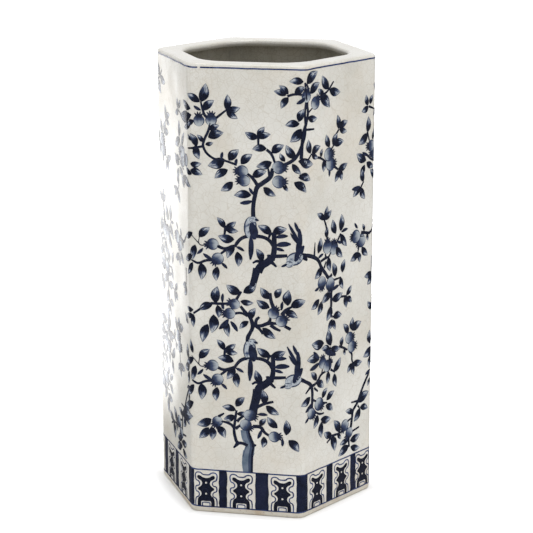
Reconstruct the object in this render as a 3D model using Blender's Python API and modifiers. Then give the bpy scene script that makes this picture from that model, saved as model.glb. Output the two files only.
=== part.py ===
"""Slab-built hexagonal porcelain umbrella stand.

Six wall slabs are mitred at the corners and stand on a foot ring. A floor slab closes the bottom, a
shoulder slab with a hexagonal mouth closes the top, and coils of clay fill the seams on the inside.
Metres, +Z up. The origin is the centre of the resting face, and the front wall faces -Y.
"""

import math

import bmesh
import bpy
from mathutils import Vector

# Driving dimensions
SIDE = 0.112  # width of one outer face, from one sharp corner line to the next
HEIGHT = 0.457
WALL = 0.009
FLOOR = 0.010
SHOULDER = 0.007
FOOT_HEIGHT = 0.006
FOOT_WIDTH = 0.015
CORNER_RADIUS = 0.010  # outer vertical edges
MOUTH_INSET = 0.020  # from the outer face to the lip's innermost line
MOUTH_CORNER_RADIUS = 0.040
SLIP = 0.0003  # thickness of each slip joint between two slabs

# Rounded edges
SHOULDER_EDGE = 0.0028
LIP_EDGE = 0.0033
FOOT_EDGE = 0.0020
EDGE_STEPS = 3
CORNER_STEPS = 6

# Seam coils
CORNER_COIL_LEG = 0.007
CORNER_COIL_HOLLOW = 0.0013
FLOOR_COIL_LEG = 0.006

# Worked out from these
SIXTH = math.radians(60)
HALF_SIXTH = SIXTH / 2
APOTHEM = SIDE * math.cos(HALF_SIXTH)
INNER_APOTHEM = APOTHEM - WALL
WALL_BOTTOM = FOOT_HEIGHT + SLIP
SHOULDER_BOTTOM = HEIGHT - SHOULDER
WALL_TOP = SHOULDER_BOTTOM - SLIP
FLOOR_BOTTOM = FOOT_HEIGHT + SLIP
FLOOR_TOP = FLOOR_BOTTOM + FLOOR

WALL_NAMES = (
    "wall_front",
    "wall_front_right",
    "wall_back_right",
    "wall_back",
    "wall_back_left",
    "wall_front_left",
)
COIL_NAMES = (
    "seam_coil_right",
    "seam_coil_back_right",
    "seam_coil_back_left",
    "seam_coil_left",
    "seam_coil_front_left",
    "seam_coil_front_right",
)


def clear_scene():
    for old in list(bpy.data.objects):
        bpy.data.objects.remove(old)


def make_material(name, colour, roughness):
    material = bpy.data.materials.new(name)
    material.use_nodes = True
    shader = material.node_tree.nodes["Principled BSDF"]
    shader.inputs["Base Color"].default_value = (*colour, 1.0)
    shader.inputs["Roughness"].default_value = roughness
    shader.inputs["Metallic"].default_value = 0.0
    return material


def at_angle(distance, angle):
    return Vector((distance * math.cos(angle), distance * math.sin(angle)))


def rounded_hexagon(apothem, radius, steps):
    """Plan points, anticlockwise, of a hexagon with a corner on +X and its corners rounded."""
    centre_distance = (apothem - radius) / math.cos(HALF_SIXTH)
    points = []
    for corner in range(6):
        middle = corner * SIXTH
        centre = at_angle(centre_distance, middle)
        for step in range(steps + 1):
            turn = middle - HALF_SIXTH + SIXTH * step / steps
            points.append(centre + at_angle(radius, turn))
    return points


def extrude_plan(name, outline, bottom, top):
    """A prism of the flat outline, from bottom to top."""
    curve = bpy.data.curves.new(name, "CURVE")
    curve.dimensions = "2D"
    curve.fill_mode = "BOTH"
    curve.extrude = (top - bottom) / 2
    spline = curve.splines.new("POLY")
    spline.points.add(len(outline) - 1)
    for point, place in zip(spline.points, outline):
        point.co = (place.x, place.y, 0.0, 1.0)
    spline.use_cyclic_u = True
    guide = bpy.data.objects.new(name + "_outline", curve)
    bpy.context.scene.collection.objects.link(guide)
    graph = bpy.context.evaluated_depsgraph_get()
    mesh = bpy.data.meshes.new_from_object(guide.evaluated_get(graph))
    bpy.data.objects.remove(guide)
    mesh.name = name
    shape = bmesh.new()
    shape.from_mesh(mesh)
    bmesh.ops.remove_doubles(shape, verts=shape.verts, dist=0.00001)
    bmesh.ops.recalc_face_normals(shape, faces=shape.faces)
    bmesh.ops.translate(shape, verts=shape.verts, vec=(0.0, 0.0, (top + bottom) / 2))
    shape.to_mesh(mesh)
    shape.free()
    return mesh


def quarter_round(centre, radius, start_turn):
    """Points (inset, height) of a quarter circle, a quarter turn on from start_turn."""
    return [
        Vector(centre) + at_angle(radius, start_turn + math.pi / 2 * step / EDGE_STEPS)
        for step in range(EDGE_STEPS + 1)
    ]


def loft_hexagons(name, profile):
    """A closed ring whose section is profile, a loop of (apothem, corner radius, height) stations."""
    shape = bmesh.new()
    rings = [
        [shape.verts.new((p.x, p.y, z)) for p in rounded_hexagon(apothem, radius, CORNER_STEPS)]
        for apothem, radius, z in profile
    ]
    count = len(rings[0])
    for ring, following in zip(rings, rings[1:] + rings[:1]):
        for k in range(count):
            after = (k + 1) % count
            shape.faces.new((ring[k], ring[after], following[after], following[k]))
    bmesh.ops.recalc_face_normals(shape, faces=shape.faces)
    mesh = bpy.data.meshes.new(name)
    shape.to_mesh(mesh)
    shape.free()
    return mesh


def add_part(name, mesh, material, parts, turn=0.0):
    part = bpy.data.objects.new(name, mesh)
    part.rotation_euler.z = turn
    if not mesh.materials:
        mesh.materials.append(material)
    mesh.shade_smooth()
    mesh.set_sharp_from_angle(angle=math.radians(35))
    parts.objects.link(part)
    return part


def wall_outline():
    """Plan of the front wall slab: rounded outer corners and mitred ends, each half a slip joint short."""
    centre = at_angle((APOTHEM - CORNER_RADIUS) / math.cos(HALF_SIXTH), -SIXTH)
    mitre_turn = -SIXTH - math.asin(SLIP / 2 / CORNER_RADIUS)
    face_turn = -math.pi / 2
    steps = 4
    right_end = [
        centre + at_angle(CORNER_RADIUS, face_turn + (mitre_turn - face_turn) * step / steps)
        for step in range(steps + 1)
    ]
    inner_half = INNER_APOTHEM * math.tan(HALF_SIXTH) - SLIP / 2 / math.cos(HALF_SIXTH)
    right_end.append(Vector((inner_half, -INNER_APOTHEM)))
    left_end = [Vector((-point.x, point.y)) for point in reversed(right_end)]
    return right_end + left_end


def make_walls(material, parts):
    """Six equal slabs that share one mesh."""
    mesh = extrude_plan("wall_slab", wall_outline(), WALL_BOTTOM, WALL_TOP)
    for place, name in enumerate(WALL_NAMES):
        add_part(name, mesh, material, parts, turn=place * SIXTH)


def make_floor(material, parts):
    """A hexagonal slab that rests on the foot ring inside the walls."""
    outline = [at_angle((INNER_APOTHEM - SLIP) / math.cos(HALF_SIXTH), k * SIXTH) for k in range(6)]
    mesh = extrude_plan("floor_slab", outline, FLOOR_BOTTOM, FLOOR_TOP)
    add_part("floor_slab", mesh, material, parts)


def outer_station(inset, z):
    """A station near the outer face, whose corners are concentric with the walls' corners."""
    return (APOTHEM - inset, CORNER_RADIUS - inset, z)


def make_shoulder(material, parts):
    """The flat top slab, with a softened outer edge and a bullnosed mouth with wide round corners."""
    outer_edge = quarter_round((SHOULDER_EDGE, HEIGHT - SHOULDER_EDGE), SHOULDER_EDGE, math.pi / 2)
    lip_inset = MOUTH_INSET - LIP_EDGE
    lip_top = quarter_round((lip_inset, HEIGHT - LIP_EDGE), LIP_EDGE, 0.0)
    lip_bottom = quarter_round((lip_inset, SHOULDER_BOTTOM + LIP_EDGE), LIP_EDGE, -math.pi / 2)
    profile = [outer_station(0.0, SHOULDER_BOTTOM)]
    profile += [outer_station(point.x, point.y) for point in reversed(outer_edge)]
    for inset, z in list(reversed(lip_top)) + list(reversed(lip_bottom)):
        profile.append((APOTHEM - inset, MOUTH_CORNER_RADIUS + MOUTH_INSET - inset, z))
    add_part("shoulder_slab", loft_hexagons("shoulder_slab", profile), material, parts)


def make_foot_ring(material, parts):
    """The unglazed ring that the stand rests on, hollow under the floor slab."""
    outer_edge = quarter_round((FOOT_EDGE, FOOT_EDGE), FOOT_EDGE, math.pi)
    inner_edge = quarter_round((FOOT_WIDTH - FOOT_EDGE, FOOT_EDGE), FOOT_EDGE, -math.pi / 2)
    profile = [outer_station(0.0, FOOT_HEIGHT)]
    profile += [outer_station(point.x, point.y) for point in outer_edge]
    for inset, z in inner_edge + [Vector((FOOT_WIDTH, FOOT_HEIGHT))]:
        profile.append((APOTHEM - inset, CORNER_RADIUS, z))
    add_part("foot_ring", loft_hexagons("foot_ring", profile), material, parts)


def make_floor_coil(material, parts):
    """A fillet of clay round the seam of floor and walls: a three-sided profile turned in six steps."""
    wall_line = INNER_APOTHEM - SLIP
    bottom = FLOOR_TOP + SLIP
    profile = [
        (wall_line - FLOOR_COIL_LEG, bottom),
        (wall_line, bottom),
        (wall_line, bottom + FLOOR_COIL_LEG),
    ]
    mesh = bpy.data.meshes.new("floor_coil")
    points = [(depth / math.cos(HALF_SIXTH), 0.0, z) for depth, z in profile]
    mesh.from_pydata(points, [(0, 1), (1, 2), (2, 0)], [])
    part = add_part("floor_coil", mesh, material, parts)
    turn = part.modifiers.new("turn", "SCREW")
    turn.steps = 6
    turn.render_steps = 6
    turn.use_merge_vertices = True
    turn.merge_threshold = 0.00001
    turn.use_smooth_shade = False
    turn.use_normal_flip = True


def seam_coil_outline():
    """Plan of the coil in the +X corner: two straight legs on the walls and a hollow inner face."""
    corner = (INNER_APOTHEM - SLIP) / math.cos(HALF_SIXTH)
    reach = CORNER_COIL_LEG * math.sin(SIXTH)
    chord_x = corner - CORNER_COIL_LEG * math.cos(SIXTH)
    radius = (reach**2 + CORNER_COIL_HOLLOW**2) / (2 * CORNER_COIL_HOLLOW)
    centre_x = chord_x + CORNER_COIL_HOLLOW - radius
    half_turn = math.asin(reach / radius)
    steps = 4
    hollow = [
        Vector((centre_x, 0.0)) + at_angle(radius, half_turn * (1 - 2 * step / steps))
        for step in range(steps + 1)
    ]
    return [Vector((corner, 0.0))] + hollow


def make_seam_coils(material, parts):
    """Six equal coils, one up each inside corner, that share one mesh."""
    bottom = FLOOR_TOP + SLIP + FLOOR_COIL_LEG + SLIP
    mesh = extrude_plan("seam_coil", seam_coil_outline(), bottom, WALL_TOP)
    for place, name in enumerate(COIL_NAMES):
        add_part(name, mesh, material, parts, turn=place * SIXTH)


def main():
    clear_scene()
    parts = bpy.data.collections.new("umbrella_stand")
    bpy.context.scene.collection.children.link(parts)
    glazed = make_material("crackle_glaze", (0.70, 0.68, 0.62), 0.12)
    inside = make_material("inside_glaze", (0.42, 0.40, 0.35), 0.25)
    unglazed = make_material("bare_clay", (0.62, 0.56, 0.47), 0.75)
    make_walls(glazed, parts)
    make_shoulder(glazed, parts)
    make_floor(inside, parts)
    make_floor_coil(inside, parts)
    make_seam_coils(inside, parts)
    make_foot_ring(unglazed, parts)


main()
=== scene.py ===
"""Looks of a hexagonal porcelain umbrella stand: crackle glaze with cobalt fruit boughs, birds and a border.

The sections follow the stand as it is made: slabs, shoulder, foot and inside, then the painting. The
painting is laid out flat in millimetres, along the walls and up them, and then rolled on.
"""

import itertools
import math

import bpy
from mathutils import Matrix, Vector, noise


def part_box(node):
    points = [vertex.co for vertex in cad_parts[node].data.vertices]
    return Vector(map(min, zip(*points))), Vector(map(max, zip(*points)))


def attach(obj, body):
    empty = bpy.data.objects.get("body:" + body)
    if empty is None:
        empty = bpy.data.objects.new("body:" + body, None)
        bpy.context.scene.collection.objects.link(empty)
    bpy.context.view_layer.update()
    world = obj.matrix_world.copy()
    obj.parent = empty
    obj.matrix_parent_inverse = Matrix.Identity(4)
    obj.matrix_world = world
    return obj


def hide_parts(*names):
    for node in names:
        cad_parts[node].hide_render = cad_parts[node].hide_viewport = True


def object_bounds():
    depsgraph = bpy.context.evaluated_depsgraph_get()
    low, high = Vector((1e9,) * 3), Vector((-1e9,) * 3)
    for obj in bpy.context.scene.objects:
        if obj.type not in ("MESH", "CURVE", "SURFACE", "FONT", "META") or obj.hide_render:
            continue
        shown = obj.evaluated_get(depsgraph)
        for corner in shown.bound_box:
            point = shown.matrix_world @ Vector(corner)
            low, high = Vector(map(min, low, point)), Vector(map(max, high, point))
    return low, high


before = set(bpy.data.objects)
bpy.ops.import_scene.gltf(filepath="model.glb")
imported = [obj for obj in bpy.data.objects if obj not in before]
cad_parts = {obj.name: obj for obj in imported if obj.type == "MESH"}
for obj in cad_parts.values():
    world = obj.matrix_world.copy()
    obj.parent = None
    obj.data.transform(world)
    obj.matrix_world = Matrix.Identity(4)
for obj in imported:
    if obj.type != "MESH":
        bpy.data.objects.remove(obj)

cad_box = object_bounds()

# ---- The stand in its frame ----
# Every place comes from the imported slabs: a regular hexagon whose front wall faces -Y and whose
# corners lie on +X and -X, standing on z = 0. The outer upright edges are rounded.
SIXTH = math.radians(60)
HALF_SIXTH = math.radians(30)
APOTHEM = (cad_box[1].y - cad_box[0].y) / 2
SIDE = 2 * APOTHEM * math.tan(HALF_SIXTH)
HEIGHT = cad_box[1].z

# ---- Camera, floor and light ----
# A long lens from the front and a little above. The stand is on a wide white sweep, under a broad
# soft light from above and a screen at the left. Its glaze mirrors a bright patch of that sweep.
CAMERA_TURN = math.radians(10.88)
CAMERA_RISE = math.radians(14.81)
CAMERA_LENS = 120.96
CAMERA_REACH = 16.447  # this and the next two are in widths of one wall
AIM_RIGHT = 0.0117
AIM_UP = 2.0926
right = Vector((math.cos(CAMERA_TURN), math.sin(CAMERA_TURN), 0.0))
back = Vector(
    (
        math.sin(CAMERA_TURN) * math.cos(CAMERA_RISE),
        -math.cos(CAMERA_TURN) * math.cos(CAMERA_RISE),
        math.sin(CAMERA_RISE),
    )
)
target = right * SIDE * AIM_RIGHT + Vector((0.0, 0.0, SIDE * AIM_UP))
camera = bpy.data.objects.new("camera", bpy.data.cameras.new("camera"))
bpy.context.scene.collection.objects.link(camera)
camera.data.lens = CAMERA_LENS
camera.data.clip_end = 60.0
camera.location = target + back * SIDE * CAMERA_REACH
camera.rotation_euler = (math.pi / 2 - CAMERA_RISE, 0.0, CAMERA_TURN)
bpy.context.scene.camera = camera
bpy.context.scene.view_settings.view_transform = "Standard"

FLOOR_SIZE = 40.0
bpy.ops.mesh.primitive_plane_add(size=FLOOR_SIZE, location=(0.0, 0.0, 0.0))
floor = bpy.context.object
floor.name = "floor"


def add_node(tree, kind, place, **settings):
    """A node of that kind, with its properties set."""
    node = tree.nodes.new(kind)
    node.location = (place[0] * 200, place[1] * 160)
    for name, value in settings.items():
        setattr(node, name, value)
    return node


def set_inputs(node, **values):
    """Sets a node's inputs by name, with _ for a space. An output given as a value is linked."""
    tree = node.id_data
    for name, value in values.items():
        socket = node.inputs[name.replace("_", " ")]
        if isinstance(value, bpy.types.NodeSocket):
            tree.links.new(value, socket)
        else:
            socket.default_value = value
    return node


def math_node(tree, operation, place, first, second=0.0, third=0.0, clamp=False):
    """A Math node's output, from numbers or other nodes' outputs."""
    node = add_node(tree, "ShaderNodeMath", place, operation=operation, use_clamp=clamp)
    for socket, value in zip(node.inputs, (first, second, third)):
        if isinstance(value, bpy.types.NodeSocket):
            tree.links.new(value, socket)
        else:
            socket.default_value = value
    return node.outputs[0]


def ramp_mask(tree, place, value, start, stop):
    """A smooth mask that rises from 0 at start to 1 at stop."""
    node = add_node(tree, "ShaderNodeMapRange", place, interpolation_type="SMOOTHSTEP")
    set_inputs(node, Value=value, From_Min=start, From_Max=stop)
    return node.outputs[0]


def other_in_mirrors(tree, plain, mirrored, end):
    """Shows one shader to most rays, and another to the rays that leave a glossy surface."""
    rays = add_node(tree, "ShaderNodeLightPath", (0, 2))
    either = add_node(tree, "ShaderNodeMixShader", (1, 0))
    tree.links.new(rays.outputs["Is Glossy Ray"], either.inputs[0])
    tree.links.new(plain.outputs[0], either.inputs[1])
    tree.links.new(mirrored.outputs[0], either.inputs[2])
    tree.links.new(either.outputs[0], end.inputs["Surface"])


WHITE = (1.0, 1.0, 1.0, 1.0)
floor_paint = bpy.data.materials.new("floor_paint")
floor_paint.use_nodes = True
floor.data.materials.append(floor_paint)
floor_tree = floor_paint.node_tree
floor_shader = floor_tree.nodes["Principled BSDF"]
set_inputs(floor_shader, Base_Color=(0.90, 0.90, 0.90, 1.0), Roughness=0.9)
set_inputs(floor_shader, Specular_IOR_Level=0.0, Emission_Color=WHITE)
on_floor = add_node(floor_tree, "ShaderNodeTexCoord", (-6, 0)).outputs["Object"]


def floor_ramp(place, direction, start, stop):
    """How far along a level direction the floor lies, as a smooth rise from 0 at start to 1 at stop."""
    along = add_node(floor_tree, "ShaderNodeVectorMath", (place[0] - 1, place[1]), operation="DOT_PRODUCT")
    floor_tree.links.new(on_floor, along.inputs[0])
    along.inputs[1].default_value = direction
    return ramp_mask(floor_tree, place, along.outputs["Value"], start, stop)


# The sweep glows a little, except close round the foot, where the glow fades out to leave a painted contact
# shadow.
FLOOR_GLOW = 0.34
# how far past the foot the painted contact shadow reaches, in metres
PAINTED_SHADOW_WIDTH = 0.018
UNDER_FOOT = 0.004
# clear is 0 in the painted shadow round the foot, and 1 past it.
clear = 0.0
for step in range(6):
    away = (math.sin(step * SIXTH), -math.cos(step * SIXTH), 0.0)
    past_foot = floor_ramp((-4, 7 - step), away, APOTHEM - UNDER_FOOT, APOTHEM + PAINTED_SHADOW_WIDTH)
    clear = math_node(floor_tree, "MAXIMUM", (-3, 7 - step), clear, past_foot)
set_inputs(floor_shader, Emission_Strength=math_node(floor_tree, "MULTIPLY", (-2, 2), clear, FLOOR_GLOW))

# In the glaze only a part of the sweep behind the left shows bright, as if the rest were flagged off.
PATCH_GLOW = 3.0
FLAGGED_GLOW = 0.10
near_edge = floor_ramp((-4, -2), (0.68, 0.733, 0.0), -0.093, -0.080)
far_edge = floor_ramp((-4, -3), (0.714, 0.70, 0.0), -0.182, -0.152)
left_edge = floor_ramp((-4, -4), (-1.0, 0.0, 0.0), 0.20, 0.36)
behind_left = math_node(floor_tree, "MULTIPLY", (-3, -2), near_edge, left_edge)
behind_left = math_node(floor_tree, "MULTIPLY", (-2, -2), behind_left, far_edge)
mirrored_glow = math_node(floor_tree, "MULTIPLY_ADD", (-1, -2), behind_left, PATCH_GLOW, FLAGGED_GLOW)
mirrored_floor = set_inputs(add_node(floor_tree, "ShaderNodeEmission", (0, -2)), Strength=mirrored_glow)
other_in_mirrors(floor_tree, floor_shader, mirrored_floor, floor_tree.nodes["Material Output"])

SKY_GLOW = 0.36
MIRRORED_SKY_GLOW = 0.92
sky = bpy.data.worlds.new("sky")
sky.use_nodes = True
sky_tree = sky.node_tree
backdrop = set_inputs(sky_tree.nodes["Background"], Color=WHITE, Strength=SKY_GLOW)
bright_wall = add_node(sky_tree, "ShaderNodeBackground", (0, -2))
set_inputs(bright_wall, Color=WHITE, Strength=MIRRORED_SKY_GLOW)
other_in_mirrors(sky_tree, backdrop, bright_wall, sky_tree.nodes["World Output"])
bpy.context.scene.world = sky


def add_light(name, kind, place, aim, strength, **settings):
    """A light at place that points at aim, and that the camera doesn't see."""
    light = bpy.data.lights.new(name, kind)
    light.energy = strength
    for setting, value in settings.items():
        setattr(light, setting, value)
    lamp = bpy.data.objects.new(name, light)
    lamp.location = place
    lamp.rotation_euler = (Vector(aim) - Vector(place)).to_track_quat("-Z", "Y").to_euler()
    lamp.visible_camera = False
    bpy.context.scene.collection.objects.link(lamp)
    return lamp


add_light("overhead_light", "SUN", (0.30, -0.22, 2.4), (0.0, 0.0, 0.2), 2.35, angle=math.radians(50))
screen_form = {"shape": "RECTANGLE", "size": 0.9, "size_y": 0.5}
screen_aim = (0.349, 0.204, 0.12)
left_screen = add_light("left_screen", "AREA", (-0.407, 0.859, 0.20), screen_aim, 6.6, **screen_form)
left_screen.visible_glossy = False

# ---- Glaze ----
# One clear, faintly warm crackle glaze covers the outside. Its fine net of cracks has taken up a
# little tea-coloured stain. The same surface lies over the painting.
FLOAT = "NodeSocketFloat"
COLOUR = "NodeSocketColor"
VECTOR = "NodeSocketVector"
GLAZE_ROUGHNESS = 0.10


def new_group(name, inputs, outputs):
    """A shader node group with named sockets, and its input and output nodes."""
    group = bpy.data.node_groups.new(name, "ShaderNodeTree")
    for label, kind, value in inputs:
        socket = group.interface.new_socket(name=label, in_out="INPUT", socket_type=kind)
        if value is not None:
            socket.default_value = value
    for label, kind in outputs:
        group.interface.new_socket(name=label, in_out="OUTPUT", socket_type=kind)
    return group, add_node(group, "NodeGroupInput", (-6, 0)), add_node(group, "NodeGroupOutput", (6, 0))


def blend_colours(tree, place, share, first, second):
    """A Mix node's colour output. The share is an output, and each colour is one too or three numbers."""
    mix = add_node(tree, "ShaderNodeMix", place, data_type="RGBA")
    for socket, value in zip((mix.inputs[0], mix.inputs[6], mix.inputs[7]), (share, first, second)):
        if isinstance(value, bpy.types.NodeSocket):
            tree.links.new(value, socket)
        else:
            socket.default_value = (*value, 1.0)
    return mix.outputs[2]


# The crackle group lays a blotchy stain and the cracks over a colour, and gives the faint swell.
FINER = 2.3  # how many times finer the fine net is
WANDER = 0.004  # metres that a crack strays
WIDE_STRENGTH = 0.7
CRACK_DEPTH = 0.015  # against the swell
STAIN_COLOUR = (0.66, 0.55, 0.40)
crackle, inlet, outlet = new_group(
    "crackle",
    [
        ("Colour", COLOUR, WHITE),
        ("Cell", FLOAT, 0.006),
        ("Line", FLOAT, 0.045),
        ("Stain Share", FLOAT, 0.42),
        ("Crack Tint", COLOUR, (0.46, 0.40, 0.30, 1.0)),
        ("Crack Share", FLOAT, 0.52),
    ],
    [("Colour", COLOUR), ("Height", FLOAT)],
)
where = add_node(crackle, "ShaderNodeTexCoord", (-5, 2)).outputs["Object"]
wander = add_node(crackle, "ShaderNodeTexNoise", (-4, 3))
set_inputs(wander, Vector=where, Scale=70.0, Detail=2.0)
bent = add_node(crackle, "ShaderNodeVectorMath", (-3, 3), operation="MULTIPLY_ADD")
crackle.links.new(wander.outputs["Color"], bent.inputs[0])
bent.inputs[1].default_value = (WANDER, WANDER, WANDER)
crackle.links.new(where, bent.inputs[2])
per_metre = math_node(crackle, "DIVIDE", (-4, 1), 1.0, inlet.outputs["Cell"])
wide_net = add_node(crackle, "ShaderNodeTexVoronoi", (-2, 3), feature="DISTANCE_TO_EDGE")
set_inputs(wide_net, Vector=bent.outputs[0], Scale=per_metre)
fine_net = add_node(crackle, "ShaderNodeTexVoronoi", (-2, 1), feature="DISTANCE_TO_EDGE")
set_inputs(fine_net, Vector=bent.outputs[0], Scale=math_node(crackle, "MULTIPLY", (-3, 1), per_metre, FINER))
wide_line = math_node(crackle, "DIVIDE", (-1, 3), wide_net.outputs["Distance"], inlet.outputs["Line"])
wide_crack = math_node(crackle, "SUBTRACT", (0, 3), 1.0, wide_line, clamp=True)
fine_line = math_node(crackle, "DIVIDE", (-1, 1), fine_net.outputs["Distance"], inlet.outputs["Line"])
fine_crack = math_node(crackle, "SUBTRACT", (0, 1), 1.0, fine_line, clamp=True)
patches = add_node(crackle, "ShaderNodeTexNoise", (-2, -1))
set_inputs(patches, Vector=where, Scale=26.0, Detail=4.0)
patch_mask = add_node(crackle, "ShaderNodeMapRange", (0, -1))
set_inputs(patch_mask, Value=patches.outputs["Fac"], From_Min=0.42, From_Max=0.66)
fine_share = math_node(crackle, "MULTIPLY", (1, 1), fine_crack, patch_mask.outputs[0])
wide_share = math_node(crackle, "MULTIPLY", (1, 3), wide_crack, WIDE_STRENGTH)
all_cracks = math_node(crackle, "MAXIMUM", (2, 2), wide_share, fine_share)
stains = add_node(crackle, "ShaderNodeTexNoise", (-2, -3))
set_inputs(stains, Vector=where, Scale=15.0, Detail=6.0, Roughness=0.6)
stain_mask = add_node(crackle, "ShaderNodeMapRange", (0, -3))
set_inputs(stain_mask, Value=stains.outputs["Fac"], From_Min=0.48, From_Max=0.78)
stain_share = math_node(crackle, "MULTIPLY", (1, -3), stain_mask.outputs[0], inlet.outputs["Stain Share"])
stained = blend_colours(crackle, (3, 0), stain_share, inlet.outputs["Colour"], STAIN_COLOUR)
crack_share = math_node(crackle, "MULTIPLY", (3, 2), all_cracks, inlet.outputs["Crack Share"])
cracked = blend_colours(crackle, (4, 0), crack_share, stained, inlet.outputs["Crack Tint"])
crackle.links.new(cracked, outlet.inputs["Colour"])
swell = add_node(crackle, "ShaderNodeTexNoise", (-2, -5))
set_inputs(swell, Vector=where, Scale=22.0, Detail=1.0)
cut = math_node(crackle, "MULTIPLY", (1, -4), all_cracks, -CRACK_DEPTH)
crackle.links.new(math_node(crackle, "ADD", (3, -4), swell.outputs["Fac"], cut), outlet.inputs["Height"])


def new_material(name, roughness):
    """A Principled material, with its tree and shader."""
    material = bpy.data.materials.new(name)
    material.use_nodes = True
    shader = material.node_tree.nodes["Principled BSDF"]
    shader.inputs["Roughness"].default_value = roughness
    return material, material.node_tree, shader


def glaze_over(tree, shader, colour, **crackle_values):
    """Lays the crackle over a colour, and gives the shader that colour and the glaze's faint swell."""
    net = add_node(tree, "ShaderNodeGroup", (-2, 0), node_tree=crackle)
    set_inputs(net, Colour=colour, **crackle_values)
    tree.links.new(net.outputs["Colour"], shader.inputs["Base Color"])
    bump = add_node(tree, "ShaderNodeBump", (-1, -3))
    set_inputs(bump, Height=net.outputs["Height"], Distance=0.0006, Strength=0.35)
    tree.links.new(bump.outputs["Normal"], shader.inputs["Normal"])


crackle_glaze, tree, shader = new_material("crackle_glaze", GLAZE_ROUGHNESS)
where = add_node(tree, "ShaderNodeTexCoord", (-6, 1)).outputs["Object"]
warmth = add_node(tree, "ShaderNodeTexNoise", (-5, 1))
set_inputs(warmth, Vector=where, Scale=9.0, Detail=9.0, Roughness=0.68)
warmth_mask = add_node(tree, "ShaderNodeMapRange", (-4.5, 1))
set_inputs(warmth_mask, Value=warmth.outputs["Fac"], From_Min=0.34, From_Max=0.66)
WARM_WHITE = (0.655, 0.634, 0.572)
BRIGHT_WHITE = (0.815, 0.802, 0.757)
mottled = blend_colours(tree, (-4, 1), warmth_mask.outputs[0], WARM_WHITE, BRIGHT_WHITE)
glaze_over(tree, shader, mottled)

# ---- Inside glaze ----
# A thinner, greyer glaze was swilled round the inside, and its colour is set darker still as painted shade
# for the hollow. It runs in faint streaks down the walls, and its cracks are stained darker than the
# outside's.
inside_glaze, tree, shader = new_material("inside_glaze", 0.28)
where = add_node(tree, "ShaderNodeTexCoord", (-6, 0)).outputs["Object"]
streaks = add_node(tree, "ShaderNodeTexNoise", (-4, 1))
stretch = add_node(tree, "ShaderNodeMapping", (-5, 1))
stretch.inputs["Scale"].default_value = (90.0, 90.0, 6.0)
tree.links.new(where, stretch.inputs["Vector"])
set_inputs(streaks, Vector=stretch.outputs[0], Scale=1.0, Detail=4.0)
# These colours are darker than the outside's, as painted shade inside the stand.
streaked = blend_colours(tree, (-3, 1), streaks.outputs["Fac"], (0.50, 0.48, 0.41), (0.70, 0.68, 0.61))
glaze_over(tree, shader, streaked, Cell=0.007, Crack_Tint=(0.25, 0.20, 0.13, 1.0))

# ---- Bare clay ----
# The foot is wiped clean of glaze before the firing. The clay burns to a warm biscuit colour, with
# rusty patches and brown specks of iron.
bare_clay, tree, shader = new_material("bare_clay", 0.75)
where = add_node(tree, "ShaderNodeTexCoord", (-6, 0)).outputs["Object"]
grain = add_node(tree, "ShaderNodeTexNoise", (-5, 2))
set_inputs(grain, Vector=where, Scale=260.0, Detail=5.0)
specks = add_node(tree, "ShaderNodeTexVoronoi", (-5, 0))
set_inputs(specks, Vector=where, Scale=330.0)
speck_mask = add_node(tree, "ShaderNodeMapRange", (-4, 0))
set_inputs(speck_mask, Value=specks.outputs["Distance"], From_Min=0.20, From_Max=0.10)
rust = add_node(tree, "ShaderNodeTexNoise", (-5, -2))
set_inputs(rust, Vector=where, Scale=38.0, Detail=5.0)
rust_mask = add_node(tree, "ShaderNodeMapRange", (-4, -2))
set_inputs(rust_mask, Value=rust.outputs["Fac"], From_Min=0.50, From_Max=0.72)
clay = blend_colours(tree, (-3, 2), grain.outputs["Fac"], (0.60, 0.55, 0.46), (0.72, 0.68, 0.60))
rust_share = math_node(tree, "MULTIPLY", (-3, -1), rust_mask.outputs[0], 0.55)
rusted = blend_colours(tree, (-2, 1), rust_share, clay, (0.42, 0.27, 0.14))
speck_share = math_node(tree, "MULTIPLY", (-3, 0), speck_mask.outputs[0], 0.6)
speckled = blend_colours(tree, (-1, 1), speck_share, rusted, (0.30, 0.20, 0.11))
tree.links.new(speckled, shader.inputs["Base Color"])
tooth = add_node(tree, "ShaderNodeBump", (-1, -2))
set_inputs(tooth, Height=grain.outputs["Fac"], Distance=0.0003, Strength=0.5)
tree.links.new(tooth.outputs["Normal"], shader.inputs["Normal"])

# ---- Wall slabs ----
# Six slabs are mitred and luted together before the firing, so the glaze runs over their seams. One
# slab is cut out of a thick hexagonal tube along its two mitres, and then copied round the axis.
CORNER_RADIUS = 0.010
CORNER_REACH = CORNER_RADIUS * math.tan(HALF_SIXTH)  # from a sharp corner to where its round begins
CORNER_CUTS = 12
WALL_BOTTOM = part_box("foot_ring")[1].z
WALL_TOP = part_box("shoulder_slab")[0].z
FLOOR_SLACK = 0.0003  # with which the floor slab slips in between the walls
WALL_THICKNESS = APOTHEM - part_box("floor_slab")[1].y - FLOOR_SLACK
MITRE_AREA = 0.003  # square metres, which only the mitres, of the faces turned that way, are over
SHARP = math.radians(40)
WALL_NAMES = ("front", "front_right", "back_right", "back", "back_left", "front_left")


def only(*chosen):
    """Selects these objects and nothing else, in object mode, with the first one active."""
    bpy.ops.object.select_all(action="DESELECT")
    for thing in chosen:
        thing.select_set(True)
    bpy.context.view_layer.objects.active = chosen[0]


def outward(x, y):
    """The outside's true direction at a place on the rounded hexagon."""
    turn = math.floor((math.atan2(y, x) + math.pi / 2 + HALF_SIXTH) / SIXTH) * SIXTH
    flat = Matrix.Rotation(-turn, 2) @ Vector((x, y))
    reach = SIDE / 2 - CORNER_REACH
    if abs(flat.x) <= reach:
        local = Vector((0.0, -1.0))
    else:
        local = flat - Vector((math.copysign(reach, flat.x), CORNER_RADIUS - APOTHEM))
    return (Matrix.Rotation(turn, 2) @ local).normalized().to_3d()


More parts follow.
